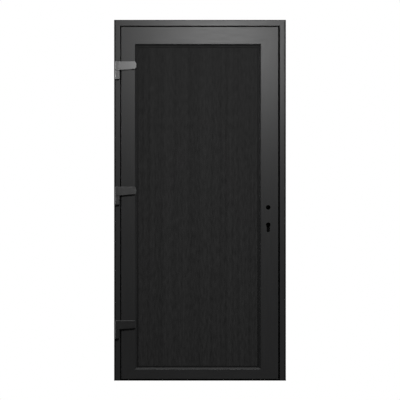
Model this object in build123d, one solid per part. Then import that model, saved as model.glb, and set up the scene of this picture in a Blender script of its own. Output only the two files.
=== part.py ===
from build123d import *
import os
from math import sqrt
from typing import NamedTuple

# A service door in its frame: X to the lock side, Y into the house, Z up.
# The origin is on the floor, under the middle of the threshold.

# Frame
FRAME_WIDTH = 1000.0
FRAME_HEIGHT = 2100.0
FRAME_DEPTH = 70.0
FRAME_FACE = 35.5
FRAME_ROUND = 1.5
EDGE_STEP = 8.0
EDGE_STEP_TOP = 4.0
EDGE_STEP_DEPTH = 8.0
REBATE_DEPTH = 43.0
STOP_REACH = 24.5

# Threshold
APRON_HEIGHT = 4.5
SILL_HEIGHT = 22.0
SILL_ROUND = 3.0
APRON_ROUND = 2.0

# Running gaps of the leaf
GAP_HINGE = 6.0
GAP_LOCK = 9.0
GAP_TOP = 6.0
GAP_BOTTOM = 9.6
LIP_STANDOFF = 8.0
BODY_GAP = 6.0
BODY_GAP_LOCK = 8.5

# Leaf members
LEAF_PROUD = 6.0
LEAF_DEPTH = 69.0
LEAF_ROUND = 2.0
STILE_HINGE = 80.0
STILE_LOCK = 101.0
RAIL_TOP = 100.0
RAIL_BOTTOM = 56.4
BEVEL_WIDTH = 10.0
BEVEL_DEPTH = 10.0
NOSE = 2.0
POCKET_REACH = 18.0

# Infill panel, its seals and its inside beads
PANEL_THICKNESS = 24.0
PANEL_PLAY = 2.0
PANEL_SEAL_THICKNESS = 3.0
PANEL_SEAL_LIP = 10.0
PANEL_SEAL_HOLD = 6.0
PANEL_SEAL_ROUND = 1.4
BEAD_WIDTH = 20.0
BEAD_DEPTH = 26.0
BEAD_SLOPE = 8.0

# Rebate seals
SEAL_LINE = 16.0
SEAL_WIDTH = 8.0
SEAL_PROUD = 3.0
SEAL_ROUND = 2.0
GROOVE_WIDTH = 4.0
GROOVE_DEPTH = 5.0
SEAL_PLAY = 0.2
SILL_SEAL_HEIGHT = 16.0

# Hinges
LOWER_HINGE_TOP = 351.0
MIDDLE_HINGE_TOP = 1128.0
UPPER_HINGE_DROP = 243.0
HINGE_HEIGHT = 104.0
HINGE_INSET = 21.0
HINGE_STANDOFF = 16.0
BARREL_RADIUS = 13.0
BARREL_FRONT = 10.0
BARREL_ROUND = 4.0
BARREL_CHAMFER = 1.2
WING_HEIGHT = 51.0
WING_LENGTH = 111.0
WING_TIP_HEIGHT = 44.0
WING_TIP_RADIUS = 35.0
WING_TIP_THICKNESS = 19.0
WING_CHAMFER = 1.5
WING_TAPER_START = 20.0
BUSH_HEIGHT = 2.0
BUSH_RADIUS = 9.2
HINGE_PLAY = 0.3
PIN_RADIUS = 5.0
PIN_PLAY = 0.08
PIN_SEAT = 40.0
BASE_GROOVES = (26.0, 38.0)
BASE_GROOVE_WIDTH = 1.6
BASE_GROOVE_DEPTH = 0.9

# Lock in the leaf, and its strike plate in the frame
LOCK_BACKSET = 34.5
SPINDLE_HEIGHT = 1008.0
SPINDLE_HOLE_RADIUS = 13.5
CYLINDER_DROP = 101.0
KEYHOLE_HEAD_RADIUS = 13.5
KEYHOLE_SLOT = 18.5
KEYHOLE_DROP = 43.0
CYLINDER_HEAD_RADIUS = 8.8
CYLINDER_SLOT = 10.6
CYLINDER_TAIL = 24.4
LOCK_FROM_BACK = 11.0
CASE_THICKNESS = 14.0
CASE_REACH = 18.0
CASE_ABOVE = 62.0
CASE_BELOW = 60.0
INSERT_PLAY = 0.15
PLATE_WIDTH = 16.0
PLATE_THICKNESS = 3.0
PLATE_MARGIN = 30.0
FOLLOWER_RADIUS = 10.0
SPINDLE_SQUARE = 8.2
BOLT_THICKNESS = 9.0
BOLT_LENGTH = 20.0
LATCH_HEIGHT = 22.0
LATCH_RISE = 40.0
DEAD_BOLT_HEIGHT = 30.0
DEAD_BOLT_DROP = 50.0
STRIKE_WIDTH = 20.0
STRIKE_FROM_STOP = 2.0
STRIKE_OPENING_PLAY = 2.5
BOLT_POCKET = 24.0

# Room by which a cutter passes through the face that it cuts, and by which an edge counts as lying in a plane
CUT = 10.0
NEAR = 0.01


class Rect(NamedTuple):
    """An upright rectangle in the plane of the door, from its low to its high corner."""

    x0: float
    x1: float
    z0: float
    z1: float

    def inset(self, hinge, lock, top, bottom):
        """Return the rectangle with each side moved towards the middle."""
        return Rect(self.x0 + hinge, self.x1 - lock, self.z0 + bottom, self.z1 - top)

    def even(self, amount):
        """Return the rectangle with all four sides moved towards the middle."""
        return self.inset(amount, amount, amount, amount)

    def sides(self, amount):
        """Return the rectangle with its sides and top moved in, its foot left in place."""
        return self.inset(amount, amount, amount, 0.0)

    def corners(self):
        """Return the four corners: low hinge, low lock, high lock, high hinge."""
        return (self.x0, self.z0), (self.x1, self.z0), (self.x1, self.z1), (self.x0, self.z1)


# Places that several pieces share
FRONT = -FRAME_DEPTH / 2
BACK = FRAME_DEPTH / 2
STOP = FRONT + REBATE_DEPTH
LEAF_FRONT = FRONT - LEAF_PROUD
LEAF_BACK = LEAF_FRONT + LEAF_DEPTH
LIP_BACK = STOP - LIP_STANDOFF
BEVEL_BACK = LEAF_FRONT + BEVEL_DEPTH
NOSE_BACK = BEVEL_BACK + NOSE
PANEL_FRONT = NOSE_BACK + PANEL_SEAL_THICKNESS
PANEL_BACK = PANEL_FRONT + PANEL_THICKNESS

FRAME = Rect(-FRAME_WIDTH / 2, FRAME_WIDTH / 2, 0.0, FRAME_HEIGHT)
REBATE = FRAME.sides(FRAME_FACE)
STOPS = FRAME.sides(FRAME_FACE + STOP_REACH)
LEAF = REBATE.inset(GAP_HINGE, GAP_LOCK, GAP_TOP, GAP_BOTTOM)
BODY = STOPS.inset(BODY_GAP, BODY_GAP_LOCK, BODY_GAP, SILL_HEIGHT + BODY_GAP)
FACE = LEAF.inset(STILE_HINGE, STILE_LOCK, RAIL_TOP, RAIL_BOTTOM)
SIGHT = FACE.even(BEVEL_WIDTH)
POCKET = SIGHT.even(-POCKET_REACH)

HINGE_TOPS = {
    "lower": LOWER_HINGE_TOP,
    "middle": MIDDLE_HINGE_TOP,
    "upper": FRAME_HEIGHT - UPPER_HINGE_DROP,
}
AXIS_X = FRAME.x0 + HINGE_INSET
AXIS_Y = FRONT - HINGE_STANDOFF
LOCK_X = BODY.x1 - LOCK_BACKSET
LOCK_Y = LEAF_BACK - LOCK_FROM_BACK
CYLINDER_HEIGHT = SPINDLE_HEIGHT - CYLINDER_DROP
CASE_FRONT = LOCK_Y - CASE_THICKNESS / 2
CASE_TOP = SPINDLE_HEIGHT + CASE_ABOVE
CASE_FOOT = CYLINDER_HEIGHT - CASE_BELOW
LATCH_Z = SPINDLE_HEIGHT + LATCH_RISE
DEAD_BOLT_Z = SPINDLE_HEIGHT - DEAD_BOLT_DROP


def block(x0, x1, y0, y1, z0, z1):
    """Return the box between two corners."""
    low = (Align.MIN, Align.MIN, Align.MIN)
    return Pos(x0, y0, z0) * Box(x1 - x0, y1 - y0, z1 - z0, align=low)


def slab(rect, front, back):
    """Return a rectangle of the door's plane as a box between two depths."""
    return block(rect.x0, rect.x1, front, back, rect.z0, rect.z1)


def outline(points, depth):
    """Return the flat face with these corners in the door's plane, at one depth."""
    return make_face(Polyline(*[(x, depth, z) for x, z in points], close=True))


def frustum(near, near_depth, far, far_depth):
    """Return the solid that runs from one rectangle to another behind it."""
    return loft([outline(near.corners(), near_depth), outline(far.corners(), far_depth)])


def mitre(outer, inner, side):
    """Return the prism that holds one side of a ring, cut at its mitred corners."""
    low_hinge, low_lock, high_lock, high_hinge = zip(outer.corners(), inner.corners())
    ends = {
        "hinge": (low_hinge, high_hinge),
        "lock": (low_lock, high_lock),
        "top": (high_hinge, high_lock),
        "bottom": (low_hinge, low_lock),
    }
    first, last = ends[side]
    points = [first[0], last[0], last[1], first[1]]
    return extrude(outline(points, LEAF_FRONT - CUT), FRAME_DEPTH + LEAF_PROUD + 2 * CUT, dir=(0, 1, 0))


def long_axis(side):
    """Return the axis that a piece on this side of the door runs along."""
    return Axis.Z if side in ("hinge", "lock") else Axis.X


def long_edges(piece, side, depth):
    """Return a piece's long edges at one depth, from the outside of the door to its middle."""
    edges = piece.edges().filter_by(long_axis(side)).filter_by_position(Axis.Y, depth - NEAR, depth + NEAR)
    across = Axis.X if side in ("hinge", "lock") else Axis.Z
    return edges.sort_by(across, reverse=side in ("lock", "top"))


def round_front(piece, side, depth, radius):
    """Return the piece with its long edges at one depth rounded."""
    return fillet(long_edges(piece, side, depth), radius)


def frame_members():
    """Return the two jambs and the head, mitred at the top and square on the threshold."""
    groove_outer = REBATE.sides(SEAL_LINE - GROOVE_WIDTH / 2)
    groove_inner = REBATE.sides(SEAL_LINE + GROOVE_WIDTH / 2)
    foot = FRAME.inset(0, 0, 0, APRON_HEIGHT)
    ring = slab(foot, FRONT, BACK)
    step = slab(FRAME.inset(-CUT, -CUT, -CUT, -CUT), FRONT - CUT, FRONT + EDGE_STEP_DEPTH)
    ring -= step - slab(FRAME.inset(EDGE_STEP, EDGE_STEP, EDGE_STEP_TOP, -2 * CUT), FRONT - 2 * CUT, BACK)
    ring -= slab(REBATE.inset(0, 0, 0, -2 * CUT), FRONT - CUT, STOP)
    ring -= slab(STOPS.inset(0, 0, 0, -2 * CUT), FRONT - CUT, BACK + CUT)
    groove = slab(groove_outer.inset(0, 0, 0, -2 * CUT), STOP - CUT, STOP + GROOVE_DEPTH)
    ring -= groove - slab(groove_inner.inset(0, 0, 0, -3 * CUT), STOP - 2 * CUT, BACK)
    members = {}
    for side in ("hinge", "lock", "top"):
        member = ring & mitre(FRAME, STOPS, side)
        member = fillet(long_edges(member, side, FRONT)[-1], FRAME_ROUND)
        members[side] = round_front(member, side, BACK, FRAME_ROUND)
    return members


def frame_seals():
    """Return the bulb seals of the two jambs and the head, their stems in the grooves."""
    above = REBATE.inset(0, 0, 0, APRON_HEIGHT)
    bulb = slab(above.sides(SEAL_LINE - SEAL_WIDTH / 2), STOP - SEAL_PROUD, STOP)
    bulb -= slab(REBATE.sides(SEAL_LINE + SEAL_WIDTH / 2), STOP - CUT, BACK)
    stem_edge = GROOVE_WIDTH / 2 - SEAL_PLAY
    stem = slab(above.sides(SEAL_LINE - stem_edge), STOP, STOP + GROOVE_DEPTH - SEAL_PLAY)
    stem -= slab(REBATE.sides(SEAL_LINE + stem_edge), STOP - CUT, BACK)
    ring = bulb + stem
    seals = {}
    for side in ("hinge", "lock", "top"):
        seal = ring & mitre(FRAME, STOPS, side)
        seals[side] = round_front(seal, side, STOP - SEAL_PROUD, SEAL_ROUND)
    return seals


def threshold():
    """Return the low threshold: a plate under jambs and leaf, and a sill behind the leaf."""
    sill = slab(Rect(STOPS.x0, STOPS.x1, 0.0, SILL_HEIGHT), STOP, BACK)
    sill = fillet(sill.edges().filter_by(Axis.X).group_by(Axis.Z)[-1], SILL_ROUND)
    plate = slab(Rect(FRAME.x0, FRAME.x1, 0.0, APRON_HEIGHT), FRONT, BACK)
    nosing = plate.edges().filter_by(Axis.X).group_by(Axis.Z)[-1].sort_by(Axis.Y)[0]
    return sill + fillet(nosing, APRON_ROUND)


def threshold_seal():
    """Return the seal on the front of the sill, under the foot of the leaf."""
    strip = block(
        STOPS.x0,
        STOPS.x1,
        STOP - SEAL_PROUD,
        STOP,
        SILL_SEAL_HEIGHT - SEAL_WIDTH / 2,
        SILL_SEAL_HEIGHT + SEAL_WIDTH / 2,
    )
    return round_front(strip, "bottom", STOP - SEAL_PROUD, SEAL_ROUND)


def leaf_members():
    """Return the four welded members of the leaf."""
    ring = slab(LEAF, LEAF_FRONT, LIP_BACK) + slab(BODY, LEAF_FRONT, LEAF_BACK)
    ring -= frustum(FACE, LEAF_FRONT, SIGHT, BEVEL_BACK)
    ring -= slab(SIGHT, LEAF_FRONT, LEAF_BACK + CUT)
    ring -= slab(POCKET, NOSE_BACK, LEAF_BACK + CUT)
    members = {}
    for side in ("hinge", "lock", "top", "bottom"):
        member = ring & mitre(LEAF, SIGHT, side)
        members[side] = round_front(member, side, LEAF_FRONT, LEAF_ROUND)
    return members


def panel():
    """Return the infill panel."""
    return slab(POCKET.even(PANEL_PLAY), PANEL_FRONT, PANEL_BACK)


def panel_seals():
    """Return the four seal strips between the nose of the leaf and the panel."""
    outer = SIGHT.even(-PANEL_SEAL_HOLD)
    inner = SIGHT.even(PANEL_SEAL_LIP)
    ring = slab(outer, NOSE_BACK, PANEL_FRONT) - slab(inner, NOSE_BACK - CUT, PANEL_BACK)
    seals = {}
    for side in ("hinge", "lock", "top", "bottom"):
        seal = ring & mitre(outer, inner, side)
        seals[side] = fillet(long_edges(seal, side, NOSE_BACK)[-1], PANEL_SEAL_ROUND)
    return seals


def beads():
    """Return the four glazing beads that hold the panel from the inside."""
    inner = POCKET.even(BEAD_WIDTH)
    ring = slab(POCKET, PANEL_BACK, PANEL_BACK + BEAD_DEPTH)
    ring -= slab(inner, PANEL_BACK - CUT, PANEL_BACK + BEAD_DEPTH + CUT)
    slope_end = PANEL_BACK + BEAD_DEPTH
    ring -= frustum(inner, slope_end - BEAD_SLOPE, inner.even(-BEAD_SLOPE), slope_end)
    return {side: ring & mitre(POCKET, inner, side) for side in ("hinge", "lock", "top", "bottom")}


def barrel_plan(inset):
    """Return the plan of a hinge barrel: a flat front with rounded corners, round behind the pin."""
    radius = BARREL_RADIUS - inset
    flat = Pos(0, -BARREL_FRONT + inset) * Rectangle(2 * radius, BARREL_FRONT, align=(Align.CENTER, Align.MIN))
    round_back = Circle(radius) & Rectangle(2 * radius, radius, align=(Align.CENTER, Align.MIN))
    plan = flat + round_back
    corners = plan.vertices().group_by(Axis.Y)[0]
    return Pos(AXIS_X, AXIS_Y) * fillet(corners, BARREL_ROUND)


def hinge_base_plan(inset):
    """Return the plan of a hinge base: the barrel on straight cheeks."""
    width = 2 * (BARREL_RADIUS - inset)
    cheeks = Pos(AXIS_X, AXIS_Y) * Rectangle(width, HINGE_STANDOFF, align=(Align.CENTER, Align.MIN))
    return barrel_plan(inset) + cheeks


def hinge_base(top):
    """Return the fixed half of a hinge, on the face of the hinge jamb."""
    foot = top - HINGE_HEIGHT
    head = top - WING_HEIGHT - HINGE_PLAY - BUSH_HEIGHT
    base = Pos(0, 0, foot) * extrude(hinge_base_plan(0.0), head - foot)
    rim = base.faces().sort_by(Axis.Z)[0].edges()
    base = chamfer(rim.filter_by_position(Axis.Y, AXIS_Y - BARREL_FRONT, FRONT - NEAR), BARREL_CHAMFER)
    waist = hinge_base_plan(-CUT) - hinge_base_plan(BASE_GROOVE_DEPTH)
    for drop in BASE_GROOVES:
        base -= Pos(0, 0, top - WING_HEIGHT - drop) * extrude(waist, -BASE_GROOVE_WIDTH)
    hole = Pos(AXIS_X, AXIS_Y, head - PIN_SEAT) * Cylinder(
        PIN_RADIUS + PIN_PLAY, PIN_SEAT + CUT, align=(Align.CENTER, Align.CENTER, Align.MIN)
    )
    return base - hole


def hinge_pin(top):
    """Return the pin that stands in the base and carries the wing."""
    foot = top - WING_HEIGHT - HINGE_PLAY - BUSH_HEIGHT - PIN_SEAT
    pin = Cylinder(PIN_RADIUS, top - foot, align=(Align.CENTER, Align.CENTER, Align.MIN))
    return Pos(AXIS_X, AXIS_Y, foot) * pin


def hinge_bush(top):
    """Return the thin bearing ring between the base and the wing."""
    ring = Circle(BUSH_RADIUS) - Circle(PIN_RADIUS + PIN_PLAY)
    return Pos(AXIS_X, AXIS_Y, top - WING_HEIGHT - HINGE_PLAY - BUSH_HEIGHT) * extrude(ring, BUSH_HEIGHT)


def hinge_wing(top):
    """Return the moving half of a hinge: its knuckle and the tapered wing on the leaf's face."""
    foot = top - WING_HEIGHT
    tip = AXIS_X + WING_LENGTH
    sag = WING_TIP_RADIUS - sqrt(WING_TIP_RADIUS**2 - (WING_TIP_HEIGHT / 2) ** 2)
    tip_foot = top - WING_TIP_HEIGHT
    front = AXIS_Y - BARREL_FRONT
    plan = make_face(
        Polyline(
            (AXIS_X, front),
            (tip, LEAF_FRONT - WING_TIP_THICKNESS),
            (tip, LEAF_FRONT),
            (AXIS_X, LEAF_FRONT),
            close=True,
        )
    )
    arm = Pos(0, 0, foot) * extrude(plan, WING_HEIGHT)
    taper = AXIS_X + WING_TAPER_START
    arc = ThreePointArc((tip - sag, 0, tip_foot), (tip, 0, (top + tip_foot) / 2), (tip - sag, 0, top))
    edge = Polyline((tip - sag, 0, top), (AXIS_X, 0, top), (AXIS_X, 0, foot), (taper, 0, foot), arc @ 0)
    face = make_face([arc, *edge.edges()])
    arm &= Pos(0, front - CUT, 0) * extrude(face, BARREL_RADIUS + HINGE_STANDOFF + 2 * CUT, dir=(0, 1, 0))
    rim = arm.faces().sort_by(lambda side: side.normal_at().Y)[0].edges()
    arm = chamfer(rim.sort_by(Axis.X)[1:], WING_CHAMFER)
    knuckle = Pos(0, 0, foot) * extrude(barrel_plan(0.0), WING_HEIGHT)
    knuckle = chamfer(knuckle.edges().group_by(Axis.Z)[-1], BARREL_CHAMFER)
    wing = arm + knuckle
    bore = Pos(AXIS_X, AXIS_Y, foot - CUT) * Cylinder(
        PIN_RADIUS + PIN_PLAY, WING_HEIGHT + 2 * CUT, align=(Align.CENTER, Align.CENTER, Align.MIN)
    )
    return wing - bore


def along_y(sketch, front, back):
    """Return a sketch of the door's plane as a solid between two depths."""
    return Pos(0, front, 0) * extrude(Plane.XZ * sketch, back - front, dir=(0, 1, 0))


def keyhole(head, slot, drop):
    """Return the outline of a cylinder hole: a round head with a round-ended slot below it."""
    end = drop - slot / 2
    shape = Circle(head) + Pos(0, -end / 2) * Rectangle(slot, end) + Pos(0, -end) * Circle(slot / 2)
    return Pos(LOCK_X, CYLINDER_HEIGHT) * shape


def bolt(height, z, play):
    """Return a bolt, or the channel that it slides in, drawn back flush with the faceplate."""
    half = BOLT_THICKNESS / 2 + play
    rise = height / 2 + play
    return block(BODY.x1 - BOLT_LENGTH, BODY.x1, LOCK_Y - half, LOCK_Y + half, z - rise, z + rise)


def faceplate(play):
    """Return the round-ended lock faceplate, or the recess that it lies in."""
    high = CASE_TOP + PLATE_MARGIN
    low = CASE_FOOT - PLATE_MARGIN
    width = PLATE_WIDTH + 2 * play
    middle = Pos(LOCK_Y, (high + low) / 2) * Rectangle(width, high - low - PLATE_WIDTH)
    ends = Pos(LOCK_Y, high - PLATE_WIDTH / 2) * Circle(width / 2)
    ends += Pos(LOCK_Y, low + PLATE_WIDTH / 2) * Circle(width / 2)
    return Pos(BODY.x1 - PLATE_THICKNESS, 0, 0) * extrude(Plane.YZ * (middle + ends), PLATE_THICKNESS)


def lock_case_body(play):
    """Return the outer box of the lock case, or the pocket that it lies in."""
    return block(
        LOCK_X - CASE_REACH - play,
        BODY.x1 - PLATE_THICKNESS,
        CASE_FRONT,
        CASE_FRONT + CASE_THICKNESS + play,
        CASE_FOOT - play,
        CASE_TOP + play,
    )


def spindle_hole(radius, front, back):
    """Return a round hole through the lock at the handle spindle."""
    return along_y(Pos(LOCK_X, SPINDLE_HEIGHT) * Circle(radius), front, back)


def lock_case():
    """Return the lock case with its follower hole, cylinder hole and bolt channels."""
    case = lock_case_body(0.0)
    back = CASE_FRONT + CASE_THICKNESS
    case -= spindle_hole(FOLLOWER_RADIUS + INSERT_PLAY, CASE_FRONT - CUT, back + CUT)
    cylinder = keyhole(CYLINDER_HEAD_RADIUS, CYLINDER_SLOT, CYLINDER_TAIL)
    case -= along_y(cylinder, CASE_FRONT - CUT, back + CUT)
    case -= bolt(LATCH_HEIGHT, LATCH_Z, INSERT_PLAY)
    return case - bolt(DEAD_BOLT_HEIGHT, DEAD_BOLT_Z, INSERT_PLAY)


def lock_faceplate():
    """Return the faceplate with its two bolt holes."""
    plate = faceplate(0.0)
    plate -= bolt(LATCH_HEIGHT, LATCH_Z, INSERT_PLAY)
    return plate - bolt(DEAD_BOLT_HEIGHT, DEAD_BOLT_Z, INSERT_PLAY)


def spindle_follower():
    """Return the follower that the handle spindle turns, with its square hole."""
    back = CASE_FRONT + CASE_THICKNESS
    square = Pos(LOCK_X, SPINDLE_HEIGHT) * Rectangle(SPINDLE_SQUARE, SPINDLE_SQUARE)
    return spindle_hole(FOLLOWER_RADIUS, CASE_FRONT, back) - along_y(square, CASE_FRONT - CUT, back + CUT)


def lock_stile(stile):
    """Return the lock stile with the lock's pocket and the two holes drilled from outside."""
    stile -= lock_case_body(INSERT_PLAY)
    stile -= faceplate(INSERT_PLAY)
    stile -= spindle_hole(SPINDLE_HOLE_RADIUS, LEAF_FRONT - CUT, CASE_FRONT)
    hole = keyhole(KEYHOLE_HEAD_RADIUS, KEYHOLE_SLOT, KEYHOLE_DROP)
    return stile - along_y(hole, LEAF_FRONT - CUT, CASE_FRONT)


def strike_body(play):
    """Return the blank of the strike plate, or its recess in the stop of the lock jamb."""
    front = STOP + STRIKE_FROM_STOP
    return block(
        STOPS.x1,
        STOPS.x1 + PLATE_THICKNESS,
        front - play,
        front + STRIKE_WIDTH + play,
        CASE_FOOT - PLATE_MARGIN - play,
        CASE_TOP + PLATE_MARGIN + play,
    )


def bolt_pocket(height, z):
    """Return the room in the lock jamb that a bolt shoots into."""
    half = BOLT_THICKNESS / 2 + STRIKE_OPENING_PLAY
    rise = height / 2 + STRIKE_OPENING_PLAY
    return block(STOPS.x1 - CUT, STOPS.x1 + BOLT_POCKET, LOCK_Y - half, LOCK_Y + half, z - rise, z + rise)


def strike_plate():
    """Return the strike plate with the openings that the two bolts shoot into."""
    plate = strike_body(0.0) - bolt_pocket(LATCH_HEIGHT, LATCH_Z)
    return plate - bolt_pocket(DEAD_BOLT_HEIGHT, DEAD_BOLT_Z)


def lock_jamb(jamb):
    """Return the lock jamb with the recess of the strike plate and the two bolt pockets."""
    jamb -= strike_body(INSERT_PLAY)
    jamb -= bolt_pocket(LATCH_HEIGHT, LATCH_Z)
    return jamb - bolt_pocket(DEAD_BOLT_HEIGHT, DEAD_BOLT_Z)


def door():
    """Return every piece of the door by its name."""
    frame = frame_members()
    seals = frame_seals()
    leaf = leaf_members()
    pieces = {
        "frame_hinge_jamb": frame["hinge"],
        "frame_lock_jamb": lock_jamb(frame["lock"]),
        "frame_head": frame["top"],
        "frame_seal_hinge": seals["hinge"],
        "frame_seal_lock": seals["lock"],
        "frame_seal_head": seals["top"],
        "threshold": threshold(),
        "threshold_seal": threshold_seal(),
        "strike_plate": strike_plate(),
        "leaf_hinge_stile": leaf["hinge"],
        "leaf_lock_stile": lock_stile(leaf["lock"]),
        "leaf_top_rail": leaf["top"],
        "leaf_bottom_rail": leaf["bottom"],
        "infill_panel": panel(),
        "lock_case": lock_case(),
        "lock_faceplate": lock_faceplate(),
        "spindle_follower": spindle_follower(),
        "latch_bolt": bolt(LATCH_HEIGHT, LATCH_Z, 0.0),
        "dead_bolt": bolt(DEAD_BOLT_HEIGHT, DEAD_BOLT_Z, 0.0),
    }
    pieces.update({f"panel_seal_{side}": seal for side, seal in panel_seals().items()})
    pieces.update({f"glazing_bead_{side}": bead for side, bead in beads().items()})
    for name, top in HINGE_TOPS.items():
        pieces[f"hinge_{name}_base"] = hinge_base(top)
        pieces[f"hinge_{name}_pin"] = hinge_pin(top)
        pieces[f"hinge_{name}_bush"] = hinge_bush(top)
        pieces[f"hinge_{name}_wing"] = hinge_wing(top)
    return pieces


os.makedirs("parts", exist_ok=True)
for node, shape in door().items():
    export_step(shape.solid(), f"parts/{node}.step")
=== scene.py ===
"""Dress the service door in its finishes, add its small fittings and light it in a plain studio."""

import logging
import math
from abc import ABC, abstractmethod
from dataclasses import dataclass
from enum import Enum
from typing import Iterable

import bmesh
import bpy
from mathutils import Matrix, Vector

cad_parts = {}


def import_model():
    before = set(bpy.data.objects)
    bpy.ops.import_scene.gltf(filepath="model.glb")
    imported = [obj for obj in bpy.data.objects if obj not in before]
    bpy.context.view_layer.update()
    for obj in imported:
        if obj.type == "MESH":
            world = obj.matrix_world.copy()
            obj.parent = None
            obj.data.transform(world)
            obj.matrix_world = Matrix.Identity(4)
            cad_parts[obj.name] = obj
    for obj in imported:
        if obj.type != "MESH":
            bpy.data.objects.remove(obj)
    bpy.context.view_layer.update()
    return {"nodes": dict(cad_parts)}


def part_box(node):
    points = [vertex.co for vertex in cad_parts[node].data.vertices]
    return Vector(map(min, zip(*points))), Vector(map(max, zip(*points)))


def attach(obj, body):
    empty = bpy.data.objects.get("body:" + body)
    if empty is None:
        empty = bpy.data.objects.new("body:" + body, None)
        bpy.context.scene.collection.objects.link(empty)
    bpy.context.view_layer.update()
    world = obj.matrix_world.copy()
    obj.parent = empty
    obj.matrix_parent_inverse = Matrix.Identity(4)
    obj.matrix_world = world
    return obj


LOG = logging.getLogger("service_door")

Colour = tuple[float, float, float]
Point = tuple[float, float, float]
Flat = tuple[float, float]
Range = tuple[float, float]
Socket = bpy.types.NodeSocket
Material = bpy.types.Material
Node = bpy.types.Object
Mesh = bmesh.types.BMesh

MERGE_DISTANCE = 1e-6
SHARP_ANGLE = math.radians(32.0)
FULL: Range = (0.0, 1.0)
NOISE_BAND: Range = (0.3, 0.7)
X_AXIS = 0
Z_AXIS = 2
ROUND_SIDES = 24
HEXAGON_SIDES = 6
MITRED_CORNERS = 4


class Body(Enum):
    """The bodies that a piece can ride on."""

    FRAME = "frame"
    LEAF = "leaf"


class Slot(Enum):
    """The record's finishes that the scene's own pieces take."""

    SEAL_RUBBER = "seal_rubber"
    BUSH_PLASTIC = "bush_plastic"
    LOCK_STEEL = "lock_steel"
    THRESHOLD_METAL = "threshold_metal"


@dataclass(frozen=True)
class Pattern:
    """A fractal noise: its waves per metre along and across the grain, its octaves and their weight."""

    along: float
    across: float
    octaves: float
    rough: float = 0.5

    @classmethod
    def even(cls, waves: float, octaves: float, rough: float = 0.5) -> "Pattern":
        """Return a pattern with no grain."""
        return cls(waves, waves, octaves, rough)


class Grain(Enum):
    """The axis that a surface's grain runs along."""

    ALONG_X = X_AXIS
    ALONG_Z = Z_AXIS

    def waves(self, pattern: Pattern) -> Vector:
        """Turn a pattern's measures to this grain.

        Args:
            pattern: The pattern.

        Returns:
            Its waves per metre on X, Y and Z.
        """
        waves = Vector((pattern.across, pattern.across, pattern.across))
        waves[self.value] = pattern.along
        return waves


class NodeGraph:
    """A node tree and the ways to add linked nodes to it."""

    def __init__(self, tree: bpy.types.NodeTree) -> None:
        """Take up a node tree.

        Args:
            tree: The tree that gets the nodes.
        """
        self.nodes = tree.nodes
        self.links = tree.links

    def axes(self, kind: str) -> bpy.types.bpy_prop_collection:
        """Split one kind of texture coordinates.

        Args:
            kind: The coordinates' name in Blender.

        Returns:
            The outputs X, Y and Z.
        """
        split = self.nodes.new("ShaderNodeSeparateXYZ")
        self.links.new(self.nodes.new("ShaderNodeTexCoord").outputs[kind], split.inputs["Vector"])
        return split.outputs

    def noise(self, pattern: Pattern, grain: Grain = Grain.ALONG_Z) -> Socket:
        """Add a fractal noise on the object's own coordinates.

        Args:
            pattern: The noise's measures.
            grain: The direction that it runs in.

        Returns:
            The noise's factor, from 0 to 1.
        """
        mapping = self.nodes.new("ShaderNodeMapping")
        mapping.inputs["Scale"].default_value = grain.waves(pattern)
        self.links.new(self.nodes.new("ShaderNodeTexCoord").outputs["Object"], mapping.inputs["Vector"])
        node = self.nodes.new("ShaderNodeTexNoise")
        for name, value in (("Scale", 1.0), ("Detail", pattern.octaves), ("Roughness", pattern.rough)):
            node.inputs[name].default_value = value
        self.links.new(mapping.outputs["Vector"], node.inputs["Vector"])
        return node.outputs["Fac"]

    def remap(self, value: Socket, span: Range, result: Range = FULL) -> Socket:
        """Move a value from one range to another and hold it there.

        Args:
            value: The value.
            span: The range that it comes from.
            result: The range that it goes to.

        Returns:
            The moved value.
        """
        node = self.nodes.new("ShaderNodeMapRange")
        for name, number in zip(("From Min", "From Max", "To Min", "To Max"), (*span, *result)):
            node.inputs[name].default_value = number
        self.links.new(value, node.inputs["Value"])
        return node.outputs["Result"]

    def step(self, operation: str, *values: Socket | float) -> Socket:
        """Take one arithmetic step.

        Args:
            operation: The step's name in Blender.
            *values: The one or two values that it works on.

        Returns:
            The result.
        """
        node = self.nodes.new("ShaderNodeMath")
        node.operation = operation
        for value, socket in zip(values, node.inputs):
            if isinstance(value, float):
                socket.default_value = value
            else:
                self.links.new(value, socket)
        return node.outputs["Value"]

    def blend(self, first: Socket, second: Socket, share: float) -> Socket:
        """Add up two values by weight.

        Args:
            first: The first value.
            second: The second value.
            share: The weight of the first. The second has the rest.

        Returns:
            The sum.
        """
        rest = self.step("MULTIPLY", second, 1.0 - share)
        return self.step("ADD", self.step("MULTIPLY", first, share), rest)


@dataclass(frozen=True)
class Finish(ABC):
    """A surface finish, with its shades as linear red, green and blue."""

    name: str
    dark: Colour
    light: Colour

    @abstractmethod
    def make(self) -> Material:
        """Return the finish as a new material."""


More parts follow.
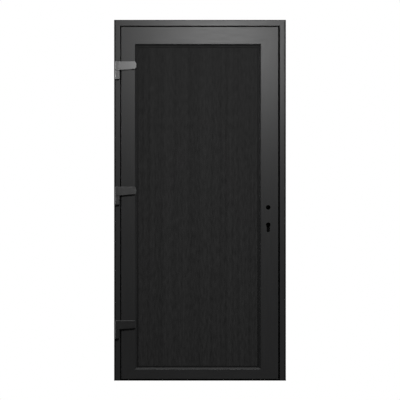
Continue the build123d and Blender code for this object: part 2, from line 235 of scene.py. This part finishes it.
class FinishGraph(NodeGraph):
    """A finish's material: one principled shader and the patterns that feed it."""

    # The mix node's colour sockets share their names with others, so they go by number.
    MIX_DARK = 6
    MIX_LIGHT = 7
    MIX_RESULT = 2

    def __init__(self, finish: Finish, **values: float) -> None:
        """Start the material of a finish.

        Args:
            finish: The finish, for its name and shades.
            **values: Shader sockets that stay constant, with underscores for spaces, and their values.
        """
        self.finish = finish
        self.material = bpy.data.materials.new(finish.name)
        self.material.use_nodes = True
        super().__init__(self.material.node_tree)
        self.shader = self.nodes["Principled BSDF"]
        for name, value in values.items():
            self.shader.inputs[name.replace("_", " ")].default_value = value

    def paint(self, tone: Socket, band: Range = NOISE_BAND) -> None:
        """Colour the surface between the finish's two shades.

        Args:
            tone: The pattern that picks the shade.
            band: The tones that give the dark shade and the light one.
        """
        mix = self.nodes.new("ShaderNodeMix")
        mix.data_type = "RGBA"
        self.links.new(self.remap(tone, band), mix.inputs["Factor"])
        mix.inputs[self.MIX_DARK].default_value = (*self.finish.dark, 1.0)
        mix.inputs[self.MIX_LIGHT].default_value = (*self.finish.light, 1.0)
        self.links.new(mix.outputs[self.MIX_RESULT], self.shader.inputs["Base Color"])

    def roughen(self, pattern: Socket, middle: float, change: float) -> None:
        """Vary the roughness with a pattern.

        Args:
            pattern: The pattern.
            middle: The roughness in the middle of it.
            change: How far the roughness goes to either side.
        """
        rough = self.remap(pattern, NOISE_BAND, (middle - change, middle + change))
        self.links.new(rough, self.shader.inputs["Roughness"])

    def relief(self, height: Socket, depth: float, strength: float) -> None:
        """Emboss the surface.

        Args:
            height: The relief, from 0 to 1.
            depth: How deep a full step is, in metres.
            strength: The share of the relief that shows.
        """
        node = self.nodes.new("ShaderNodeBump")
        node.inputs["Strength"].default_value = strength
        node.inputs["Distance"].default_value = depth
        self.links.new(height, node.inputs["Height"])
        self.links.new(node.outputs["Normal"], self.shader.inputs["Normal"])


@dataclass(frozen=True)
class ProfileFoil(Finish):
    """Satin anthracite foil on a PVC profile, with a fine pressed grain along the profile."""

    grain: Grain = Grain.ALONG_Z
    satin: float = 0.4
    change: float = 0.02
    shine: float = 0.5
    streaks: Pattern = Pattern(9.0, 160.0, 5.0, 0.6)
    pores: Pattern = Pattern(120.0, 1800.0, 3.0, 0.7)
    cloud: Pattern = Pattern(2.0, 3.0, 2.0)
    streak_tone: float = 0.6
    pore_relief: float = 0.6
    depth: float = 0.00012
    emboss: float = 0.35

    def make(self) -> Material:
        """Make the foil.

        Returns:
            The new material.
        """
        graph = FinishGraph(self, Specular_IOR_Level=self.shine)
        streaks = graph.noise(self.streaks, self.grain)
        pores = graph.noise(self.pores, self.grain)
        graph.paint(graph.blend(streaks, graph.noise(self.cloud), self.streak_tone))
        graph.roughen(streaks, self.satin, self.change)
        graph.relief(graph.blend(pores, streaks, self.pore_relief), self.depth, self.emboss)
        return graph.material


@dataclass(frozen=True)
class PanelSheet(Finish):
    """Matt anthracite sheet with an upright embossed wood grain."""

    matt: float = 0.8
    change: float = 0.06
    shine: float = 0.2
    bands: Pattern = Pattern(0.25, 50.0, 1.0)
    dashes: Pattern = Pattern(22.0, 110.0, 3.0, 0.55)
    pores: Pattern = Pattern(60.0, 1400.0, 2.0, 0.6)
    band_tone: float = 0.3
    tones: Range = (0.32, 0.68)
    dash_relief: float = 0.6
    depth: float = 0.0003
    emboss: float = 0.5

    def make(self) -> Material:
        """Make the sheet.

        Returns:
            The new material.
        """
        graph = FinishGraph(self, Specular_IOR_Level=self.shine)
        dashes = graph.noise(self.dashes)
        pores = graph.noise(self.pores)
        graph.paint(graph.blend(graph.noise(self.bands), dashes, self.band_tone), self.tones)
        graph.roughen(dashes, self.matt, self.change)
        graph.relief(graph.blend(dashes, pores, self.dash_relief), self.depth, self.emboss)
        return graph.material


@dataclass(frozen=True)
class CoatedMetal(Finish):
    """Metallic powder coating with a fine orange-peel skin."""

    gloss: float = 0.39
    change: float = 0.03
    index: float = 1.9
    shine: float = 0.69
    peel: Pattern = Pattern.even(900.0, 3.0)
    cloud: Pattern = Pattern.even(60.0, 3.0)
    depth: float = 0.00008
    emboss: float = 0.3

    def make(self) -> Material:
        """Make the coating.

        Returns:
            The new material.
        """
        graph = FinishGraph(self, IOR=self.index, Specular_IOR_Level=self.shine)
        cloud = graph.noise(self.cloud)
        graph.paint(cloud, FULL)
        graph.roughen(cloud, self.gloss, self.change)
        graph.relief(graph.noise(self.peel), self.depth, self.emboss)
        return graph.material


@dataclass(frozen=True)
class Rubber(Finish):
    """Black seal rubber with a faint bloom."""

    matt: float = 0.68
    change: float = 0.06
    shine: float = 0.35
    bloom: Pattern = Pattern.even(45.0, 4.0, 0.6)
    tones: Range = (0.35, 0.7)
    skin: Pattern = Pattern.even(1500.0, 2.0)
    depth: float = 0.00005
    emboss: float = 0.3

    def make(self) -> Material:
        """Make the rubber.

        Returns:
            The new material.
        """
        graph = FinishGraph(self, Specular_IOR_Level=self.shine)
        bloom = graph.noise(self.bloom)
        graph.paint(bloom, self.tones)
        graph.roughen(bloom, self.matt, self.change)
        graph.relief(graph.noise(self.skin), self.depth, self.emboss)
        return graph.material


@dataclass(frozen=True)
class BrushedMetal(Finish):
    """Metal with fine lines drawn along one direction, under a clear or dark skin where it isn't all bare."""

    grain: Grain = Grain.ALONG_Z
    gloss: float = 0.34
    change: float = 0.06
    bareness: float = 1.0
    shine: float = 0.5
    lines: Pattern = Pattern(30.0, 2600.0, 3.0, 0.6)
    cloud: Pattern = Pattern.even(35.0, 4.0)
    line_tone: float = 0.6
    depth: float = 0.00003
    emboss: float = 0.3

    def make(self) -> Material:
        """Make the metal.

        Returns:
            The new material.
        """
        graph = FinishGraph(self, Metallic=self.bareness, Specular_IOR_Level=self.shine)
        lines = graph.noise(self.lines, self.grain)
        graph.paint(graph.blend(lines, graph.noise(self.cloud), self.line_tone))
        graph.roughen(lines, self.gloss, self.change)
        graph.relief(lines, self.depth, self.emboss)
        return graph.material


@dataclass(frozen=True)
class MouldedPlastic(Finish):
    """Moulded black plastic with a fine spark-eroded skin."""

    matt: float = 0.5
    change: float = 0.05
    shine: float = 0.5
    skin: Pattern = Pattern.even(1100.0, 3.0, 0.6)
    cloud: Pattern = Pattern.even(80.0, 3.0)
    depth: float = 0.00005
    emboss: float = 0.35

    def make(self) -> Material:
        """Make the plastic.

        Returns:
            The new material.
        """
        graph = FinishGraph(self, Specular_IOR_Level=self.shine)
        skin = graph.noise(self.skin)
        graph.paint(graph.noise(self.cloud), FULL)
        graph.roughen(skin, self.matt, self.change)
        graph.relief(skin, self.depth, self.emboss)
        return graph.material


class Palette:
    """Every finish of the door, made once."""

    def __init__(self) -> None:
        """Make the materials."""
        anthracite = {"dark": (0.0116, 0.0117, 0.0119), "light": (0.0146, 0.0147, 0.0149)}
        # Near-black painted shade, not the profile's own colour: the shadow line of the frame's outer step
        # and the dark of the gap behind the leaf.
        core = {"dark": (0.0012, 0.0012, 0.0012), "light": (0.0022, 0.0022, 0.0022)}
        sheet = {"dark": (0.0081, 0.0081, 0.0081), "light": (0.0173, 0.0173, 0.0173)}
        coating = {"dark": (0.0038, 0.0038, 0.0039), "light": (0.0056, 0.0056, 0.0057)}
        seal = {"dark": (0.0032, 0.0032, 0.0033), "light": (0.0056, 0.0056, 0.0057)}
        zinc = {"dark": (0.38, 0.38, 0.385), "light": (0.5, 0.5, 0.505)}
        blue = {"dark": (0.006, 0.006, 0.0062), "light": (0.012, 0.012, 0.0122)}
        oxide = {"dark": (0.0018, 0.0018, 0.0019), "light": (0.0034, 0.0034, 0.0035)}
        black = {"dark": (0.004, 0.004, 0.004), "light": (0.007, 0.007, 0.0072)}
        self.upright = ProfileFoil("foil_upright", **anthracite).make()
        self.level = ProfileFoil("foil_level", **anthracite, grain=Grain.ALONG_X).make()
        self.core = MouldedPlastic("painted_shade_profile", **core, matt=0.85, shine=0.1).make()
        self.panel = PanelSheet("panel_sheet", **sheet).make()
        self.hinge = CoatedMetal("hinge_coating", **coating).make()
        self.rubber = Rubber("seal_rubber", **seal).make()
        self.steel = BrushedMetal("plated_steel", **zinc, bareness=0.5).make()
        # Blued steel is a real lock finish, but this one is made far darker as painted shade, so the keyhole
        # and spindle hole read black.
        self.blued_hole_shade = BrushedMetal("blued_steel_hole_shade", **blue, gloss=0.55).make()
        self.anodised = BrushedMetal(
            "dark_anodised", **oxide, grain=Grain.ALONG_X, gloss=0.65, bareness=0.0, shine=0.15
        ).make()
        self.plastic = MouldedPlastic("black_plastic", **black).make()

    def of(self, slot: Slot) -> Material:
        """Find the material of a scene's own piece.

        Args:
            slot: The record's finish that the piece takes.

        Returns:
            The material.
        """
        return {
            Slot.SEAL_RUBBER: self.rubber,
            Slot.BUSH_PLASTIC: self.plastic,
            Slot.LOCK_STEEL: self.steel,
            Slot.THRESHOLD_METAL: self.anodised,
        }[slot]


@dataclass(frozen=True)
class Lamp:
    """One soft square lamp.

    It has a place, a point that it aims at, the length of a side, its power, its spread in degrees, and a
    note of whether surfaces mirror it.
    """

    name: str
    at: Point
    aim: Point
    size: float
    watts: float
    spread: float = 180.0
    mirrored: bool = True


@dataclass
class Studio:
    """The plain white studio: camera, lamps, world and floor."""

    view_height: float = 2.3275
    lens: float = 200.0
    sensor: float = 36.0
    clip_end: float = 100.0
    aim_height: float = 1.0512
    front: float = -0.035
    ambient: float = 0.15
    dark_front: float = 0.03
    white_behind: Range = (0.1, 0.5)
    white_above: Range = (0.7, 0.95)
    floor_half_width: float = 0.5
    floor_front: float = -0.03
    floor_back: float = 1.3
    floor_drop: float = 0.0005
    floor_white: float = 0.55
    floor_lift: float = 0.4
    shadow_half_width: float = 0.2
    shadow_back: float = 0.1
    lamps: tuple[Lamp, ...] = (
        Lamp("sheen", (0.16, -2.5, 2.21), (0.16, 0.0, 2.21), 0.35, 23.6),
        Lamp("key", (1.8, -5.0, 3.4), (0.0, 0.0, 0.2), 0.9, 75.0, spread=85.0, mirrored=False),
        Lamp("rear_fill", (1.2, 3.4, 2.4), (0.0, 0.0, 1.1), 1.5, 90.0),
        Lamp("side_fill", (-4.0, 0.6, 2.2), (0.0, 0.0, 1.05), 1.5, 110.0),
    )

    def camera(self) -> None:
        """Add the camera, square in front of the door."""
        data = bpy.data.cameras.new("camera")
        data.lens = self.lens
        data.sensor_width = self.sensor
        data.clip_end = self.clip_end
        distance = self.view_height * self.lens / self.sensor
        camera = bpy.data.objects.new("camera", data)
        camera.location = (0.0, self.front - distance, self.aim_height)
        camera.rotation_euler = (math.pi / 2, 0.0, 0.0)
        bpy.context.scene.collection.objects.link(camera)
        bpy.context.scene.camera = camera

    @staticmethod
    def hang(lamp: Lamp) -> None:
        """Hang one lamp in the studio.

        Args:
            lamp: The lamp's measures.
        """
        data = bpy.data.lights.new(lamp.name, "AREA")
        data.size = lamp.size
        data.energy = lamp.watts
        data.spread = math.radians(lamp.spread)
        hung = bpy.data.objects.new(lamp.name, data)
        hung.location = lamp.at
        hung.rotation_euler = (Vector(lamp.aim) - Vector(lamp.at)).to_track_quat("-Z", "Y").to_euler()
        hung.visible_glossy = lamp.mirrored
        bpy.context.scene.collection.objects.link(hung)

    def world(self) -> None:
        """Make a dim world: white to the camera, mirrored white from above and from behind the door."""
        world = bpy.data.worlds.new("studio")
        bpy.context.scene.world = world
        world.use_nodes = True
        graph = NodeGraph(world.node_tree)
        path = graph.nodes.new("ShaderNodeLightPath").outputs
        way = graph.axes("Generated")
        behind = graph.remap(way["Y"], self.white_behind)
        above = graph.remap(way["Z"], self.white_above)
        around = graph.step("MAXIMUM", behind, above)
        glossy = graph.step("MAXIMUM", path["Is Glossy Ray"], path["Is Transmission Ray"])
        seen = graph.step("MAXIMUM", path["Is Camera Ray"], graph.step("MULTIPLY", glossy, around))
        dim = graph.remap(glossy, FULL, (self.ambient, self.dark_front))
        background = graph.nodes["Background"].inputs
        graph.links.new(graph.step("MAXIMUM", dim, seen), background["Strength"])
        background["Color"].default_value = (1.0, 1.0, 1.0, 1.0)

    def floor_paint(self) -> Material:
        """Make a white paint that keeps the door's shadow and loses it towards the floor's edges.

        Returns:
            The new material.
        """
        material = bpy.data.materials.new("studio_floor")
        material.use_nodes = True
        graph = NodeGraph(material.node_tree)
        nodes, links = graph.nodes, graph.links
        nodes.remove(nodes["Principled BSDF"])
        path = nodes.new("ShaderNodeLightPath").outputs
        seen = graph.step("MAXIMUM", path["Is Camera Ray"], path["Is Glossy Ray"])
        spot = graph.axes("Object")
        aside = graph.step("ABSOLUTE", spot["X"])
        inside = graph.remap(aside, (self.floor_half_width, self.shadow_half_width))
        near = graph.remap(spot["Y"], (self.floor_back, self.shadow_back))
        white = nodes.new("ShaderNodeEmission")
        links.new(seen, white.inputs["Strength"])
        lift = nodes.new("ShaderNodeEmission")
        links.new(graph.remap(seen, FULL, (0.0, self.floor_lift)), lift.inputs["Strength"])
        paint = nodes.new("ShaderNodeBsdfDiffuse")
        paint.inputs["Color"].default_value = (self.floor_white, self.floor_white, self.floor_white, 1.0)
        lit = nodes.new("ShaderNodeAddShader")
        links.new(lift.outputs["Emission"], lit.inputs[0])
        links.new(paint.outputs["BSDF"], lit.inputs[1])
        faded = nodes.new("ShaderNodeMixShader")
        links.new(graph.step("MULTIPLY", inside, near), faded.inputs["Fac"])
        links.new(white.outputs["Emission"], faded.inputs[1])
        links.new(lit.outputs["Shader"], faded.inputs[2])
        links.new(faded.outputs["Shader"], nodes["Material Output"].inputs["Surface"])
        return material

    def floor(self) -> None:
        """Lay the floor under and behind the door."""
        mesh = bmesh.new()
        bmesh.ops.create_grid(mesh, x_segments=1, y_segments=1, size=1.0)
        depth = (self.floor_back - self.floor_front) / 2
        bmesh.ops.scale(mesh, vec=(self.floor_half_width, depth, 1.0), verts=mesh.verts)
        middle = (self.floor_back + self.floor_front) / 2
        bmesh.ops.translate(mesh, vec=(0.0, middle, -self.floor_drop), verts=mesh.verts)
        data = bpy.data.meshes.new("floor")
        mesh.to_mesh(data)
        mesh.free()
        data.materials.append(self.floor_paint())
        floor = bpy.data.objects.new("floor", data)
        bpy.context.scene.collection.objects.link(floor)

    def build(self) -> None:
        """Set up the whole studio."""
        bpy.context.scene.view_settings.view_transform = "Standard"
        self.camera()
        for lamp in self.lamps:
            self.hang(lamp)
        self.world()
        self.floor()


@dataclass(frozen=True)
class Turned:
    """A small turned piece, such as a cap or a screw head.

    Its profile, and the hexagon socket that may follow it, are rings from the foot up. Each ring is a share
    of the radius and a share of the height.
    """

    slot: Slot
    radius: float
    height: float
    profile: tuple[Flat, ...]
    socket: tuple[Flat, ...] = ()
    sides: int = ROUND_SIDES

    def add(self, mesh: Mesh, at: Point, axis: Point) -> None:
        """Add the piece to a mesh, closed at both ends.

        Args:
            mesh: The mesh.
            at: The middle of the piece's foot.
            axis: The direction that the piece faces.
        """
        turn = Vector(axis).to_track_quat("Z", "Y").to_matrix().to_4x4()
        start = Matrix.Translation(at) @ turn
        rings = [(self.sides, *ring) for ring in self.profile]
        rings += [(HEXAGON_SIDES, *ring) for ring in self.socket]
        loops = []
        for order, (sides, radius, height) in enumerate(rings):
            made = bmesh.ops.create_circle(
                mesh,
                cap_ends=order in (0, len(rings) - 1),
                radius=radius * self.radius,
                segments=sides,
                matrix=start @ Matrix.Translation((0.0, 0.0, height * self.height)),
            )
            loops.append({edge for vert in made["verts"] for edge in vert.link_edges})
        for low, high in zip(loops, loops[1:]):
            bmesh.ops.bridge_loops(mesh, edges=list(low | high))


@dataclass
class Dressing(ABC):
    """One sub-assembly: the finishes of its CAD nodes and the small pieces that the scene adds to it."""

    palette: Palette
    nodes: dict[str, Node]

    @abstractmethod
    def build(self) -> None:
        """Dress the nodes and add the pieces."""

    def dress(self, material: Material, *names: str) -> None:
        """Give CAD nodes their finish.

        Args:
            material: The finish.
            *names: The nodes that take it.
        """
        for name in names:
            slots = self.nodes[name].data.materials
            slots.clear()
            slots.append(material)
            LOG.info("dressed %s in %s", name, material.name)

    def place(self, mesh: Mesh, name: str, body: Body, slot: Slot) -> None:
        """Turn a finished mesh into a piece that rides on a body.

        Args:
            mesh: The mesh, in the door's own frame. It is used up.
            name: The piece's name.
            body: The body that carries it.
            slot: The record's finish that it takes.
        """
        bmesh.ops.remove_doubles(mesh, verts=mesh.verts, dist=MERGE_DISTANCE)
        bmesh.ops.recalc_face_normals(mesh, faces=mesh.faces)
        data = bpy.data.meshes.new(name)
        mesh.to_mesh(data)
        mesh.free()
        data.materials.append(self.palette.of(slot))
        data.shade_smooth()
        data.set_sharp_from_angle(angle=SHARP_ANGLE)
        piece = bpy.data.objects.new(name, data)
        bpy.context.scene.collection.objects.link(piece)
        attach(piece, body.value)
        LOG.info("added %s on %s", name, body.value)

    def turn(self, kind: Turned, name: str, body: Body, places: Iterable[Point], axis: Point) -> None:
        """Add some turned pieces of one kind as one object.

        Args:
            kind: Their kind.
            name: The object's name.
            body: The body that carries them.
            places: Where each of them sits.
            axis: The direction that they face.
        """
        mesh = bmesh.new()
        for at in places:
            kind.add(mesh, at, axis)
        self.place(mesh, name, body, kind.slot)


@dataclass
class FrameDressing(Dressing):
    """The fixed frame: jambs, head, rebate seals and the caps over its wall anchors."""

    foil_half_width: float = 0.4915
    foil_height: float = 2.0955
    stop: float = 0.0079
    face_on: float = 0.9
    rebate: float = 0.4645
    head: float = 2.0645
    anchor_depth: float = -0.014
    anchor_heights: tuple[float, ...] = (0.2, 0.76, 1.32, 1.88)
    anchor_places: tuple[float, ...] = (-0.25, 0.25)
    cap: Turned = Turned(Slot.BUSH_PLASTIC, 0.0065, 0.0008, ((1.0, 0.0), (1.0, 0.5), (0.9, 0.9), (0.7, 1.0)))

    def foiled(self, centre: Vector, normal: Vector) -> bool:
        """Tell whether foil covers a face: all but the front faces of the outer step and of the stop behind
        the leaf, which take painted shade instead.

        Args:
            centre: The face's middle.
            normal: Its outward direction.

        Returns:
            Whether the face is covered.
        """
        faces_front = normal.y < -self.face_on
        on_step = abs(centre.x) > self.foil_half_width or centre.z > self.foil_height
        return not (faces_front and (on_step or centre.y > self.stop))

    def paint_shade(self, *names: str) -> None:
        """Paint near-black shade where the foil ends: a painted shadow line on the outer step, and painted
        shade on the unfoiled stop deep in the gap.

        Args:
            *names: The nodes to change, already dressed in foil.
        """
        for name in names:
            data = self.nodes[name].data
            data.materials.append(self.palette.core)
            for face in data.polygons:
                if not self.foiled(face.center, face.normal):
                    face.material_index = 1
            LOG.info("bared the core of %s", name)

    def build(self) -> None:
        """Dress the frame's nodes and add its anchor caps."""
        jambs = ("frame_hinge_jamb", "frame_lock_jamb")
        self.dress(self.palette.upright, *jambs)
        self.dress(self.palette.level, "frame_head")
        # The front faces of the outer step and of the stop behind the leaf take painted shade.
        self.paint_shade(*jambs, "frame_head")
        self.dress(self.palette.rubber, "frame_seal_hinge", "frame_seal_lock", "frame_seal_head")
        for side, way in (("hinge", -1.0), ("lock", 1.0)):
            places = [(way * self.rebate, self.anchor_depth, height) for height in self.anchor_heights]
            self.turn(self.cap, f"frame_anchor_caps_{side}", Body.FRAME, places, (-way, 0.0, 0.0))
        places = [(x, self.anchor_depth, self.head) for x in self.anchor_places]
        self.turn(self.cap, "frame_anchor_caps_head", Body.FRAME, places, (0.0, 0.0, -1.0))


@dataclass
class ThresholdDressing(Dressing):
    """The threshold, its seal and its tread ribs."""

    half_length: float = 0.436
    sill_height: float = 0.022
    rib_foot: float = 0.0018
    rib_crown: float = 0.0009
    rib_height: float = 0.0007
    rib_places: tuple[float, ...] = (0.0135, 0.0175, 0.0215, 0.0255, 0.0295)

    def rib(self, mesh: Mesh, y: float) -> None:
        """Add one rib, drawn along the whole tread.

        Args:
            mesh: The mesh to add to.
            y: The depth of the rib's middle.
        """
        foot, crown = self.rib_foot / 2, self.rib_crown / 2
        low, high = self.sill_height, self.sill_height + self.rib_height
        section = ((y - foot, low), (y + foot, low), (y + crown, high), (y - crown, high))
        face = mesh.faces.new([mesh.verts.new((-self.half_length, *corner)) for corner in section])
        made = bmesh.ops.extrude_face_region(mesh, geom=[face], use_keep_orig=True)
        moved = [item for item in made["geom"] if isinstance(item, bmesh.types.BMVert)]
        bmesh.ops.translate(mesh, vec=(2 * self.half_length, 0.0, 0.0), verts=moved)

    def build(self) -> None:
        """Dress the threshold and add its ribs."""
        self.dress(self.palette.anodised, "threshold")
        self.dress(self.palette.rubber, "threshold_seal")
        mesh = bmesh.new()
        for y in self.rib_places:
            self.rib(mesh, y)
        self.place(mesh, "threshold_tread_ribs", Body.FRAME, Slot.THRESHOLD_METAL)


@dataclass
class LeafDressing(Dressing):
    """The swinging leaf: its members, infill panel, seals, beads and the beads' gasket.

    The gasket lies in the rectangle that the beads leave free, and each corner of its section is a distance
    into that rectangle and a Y.
    """

    sides: tuple[str, ...] = ("hinge", "lock", "top", "bottom")
    bead_low: Flat = (-0.3665, 0.078)
    bead_high: Flat = (0.3425, 1.9465)
    gasket_section: tuple[Flat, ...] = (
        (0.0, -0.002),
        (0.0038, -0.002),
        (0.0034, -0.0006),
        (0.0018, 0.0016),
        (0.0, 0.0026),
    )

    def gasket(self) -> Mesh:
        """Model the gasket: its section spun to a small mitred square, which is then drawn out.

        Returns:
            The new mesh.
        """
        mesh = bmesh.new()
        reach = 2 * max(inset for inset, _ in self.gasket_section)
        corner = [mesh.verts.new((reach - inset, y, reach - inset)) for inset, y in self.gasket_section]
        loop = [mesh.edges.new(ends) for ends in zip(corner, corner[1:] + corner[:1])]
        bmesh.ops.spin(
            mesh,
            geom=corner + loop,
            cent=(0.0, 0.0, 0.0),
            axis=(0.0, 1.0, 0.0),
            angle=math.tau,
            steps=MITRED_CORNERS,
            use_merge=True,
        )
        for axis, low, high in zip((X_AXIS, Z_AXIS), self.bead_low, self.bead_high):
            near = [vert for vert in mesh.verts if vert.co[axis] < 0]
            far = [vert for vert in mesh.verts if vert.co[axis] > 0]
            for side, distance in ((near, low + reach), (far, high - reach)):
                shift = Vector()
                shift[axis] = distance
                bmesh.ops.translate(mesh, vec=shift, verts=side)
        return mesh

    def build(self) -> None:
        """Dress the leaf's nodes and add the gasket of its beads."""
        upright = ("leaf_hinge_stile", "leaf_lock_stile", "glazing_bead_hinge", "glazing_bead_lock")
        level = ("leaf_top_rail", "leaf_bottom_rail", "glazing_bead_top", "glazing_bead_bottom")
        self.dress(self.palette.upright, *upright)
        self.dress(self.palette.level, *level)
        self.dress(self.palette.panel, "infill_panel")
        self.dress(self.palette.rubber, *(f"panel_seal_{side}" for side in self.sides))
        self.place(self.gasket(), "glazing_bead_gasket", Body.LEAF, Slot.SEAL_RUBBER)


@dataclass
class LockDressing(Dressing):
    """The lock in the leaf's edge, the strike plate opposite and the screws of both."""

    plate_face: float = 0.4315
    plate_depth: float = 0.017
    plate_screws: tuple[float, ...] = (0.831, 1.086)
    strike_face: float = 0.44
    strike_depth: float = 0.02
    strike_screws: tuple[float, ...] = (0.831, 1.003, 1.086)
    screw: Turned = Turned(
        Slot.LOCK_STEEL,
        radius=0.004,
        height=0.0009,
        profile=((1.0, 0.0), (1.0, 0.3), (0.8, 1.0)),
        socket=((0.475, 1.0), (0.437, 0.15)),
    )

    def build(self) -> None:
        """Dress the lock's nodes and add the screws."""
        self.dress(self.palette.steel, "lock_faceplate", "latch_bolt", "dead_bolt", "strike_plate")
        # Lock case and follower: darkened steel, partly their own finish and partly painted shade for the
        # deep keyhole and spindle hole.
        self.dress(self.palette.blued_hole_shade, "lock_case", "spindle_follower")
        places = [(self.plate_face, self.plate_depth, height) for height in self.plate_screws]
        self.turn(self.screw, "lock_faceplate_screws", Body.LEAF, places, (1.0, 0.0, 0.0))
        places = [(self.strike_face, self.strike_depth, height) for height in self.strike_screws]
        self.turn(self.screw, "strike_plate_screws", Body.FRAME, places, (-1.0, 0.0, 0.0))


@dataclass
class HingeDressing(Dressing):
    """The three hinges, the caps over their pins and the screws that set them sideways."""

    names: tuple[str, ...] = ("lower", "middle", "upper")
    pin: Flat = (-0.479, -0.051)
    height: float = 0.104
    cap: Turned = Turned(
        Slot.BUSH_PLASTIC,
        radius=0.0075,
        height=0.0018,
        profile=((1.0, 0.0), (1.0, 0.45), (0.94, 0.7), (0.78, 0.9), (0.5, 1.0)),
        sides=28,
    )
    cheek: Flat = (-0.492, -0.045)
    adjuster_drop: float = 0.0838
    adjuster: Turned = Turned(
        Slot.LOCK_STEEL,
        radius=0.0042,
        height=0.0009,
        profile=((1.0, 0.0), (1.0, 0.6), (0.88, 1.0)),
        socket=((0.55, 1.0), (0.5, 0.15)),
    )

    def build(self) -> None:
        """Dress the hinges' nodes and add their small pieces."""
        for name in self.names:
            hinge = f"hinge_{name}"
            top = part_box(f"{hinge}_wing")[1].z
            self.dress(self.palette.hinge, f"{hinge}_base", f"{hinge}_wing")
            self.dress(self.palette.steel, f"{hinge}_pin")
            self.dress(self.palette.plastic, f"{hinge}_bush")
            self.turn(self.cap, f"{hinge}_top_cap", Body.LEAF, [(*self.pin, top)], (0.0, 0.0, 1.0))
            foot = (*self.pin, top - self.height)
            self.turn(self.cap, f"{hinge}_foot_cap", Body.FRAME, [foot], (0.0, 0.0, -1.0))
            side = (*self.cheek, top - self.adjuster_drop)
            self.turn(self.adjuster, f"{hinge}_adjuster", Body.FRAME, [side], (-1.0, 0.0, 0.0))


def main() -> None:
    """Build the dressed door and its studio."""
    logging.basicConfig(level=logging.INFO, format="%(name)s: %(message)s")
    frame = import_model()
    palette = Palette()
    Studio().build()
    for part in (FrameDressing, ThresholdDressing, LeafDressing, LockDressing, HingeDressing):
        part(palette, frame["nodes"]).build()


if __name__ == "__main__":
    main()
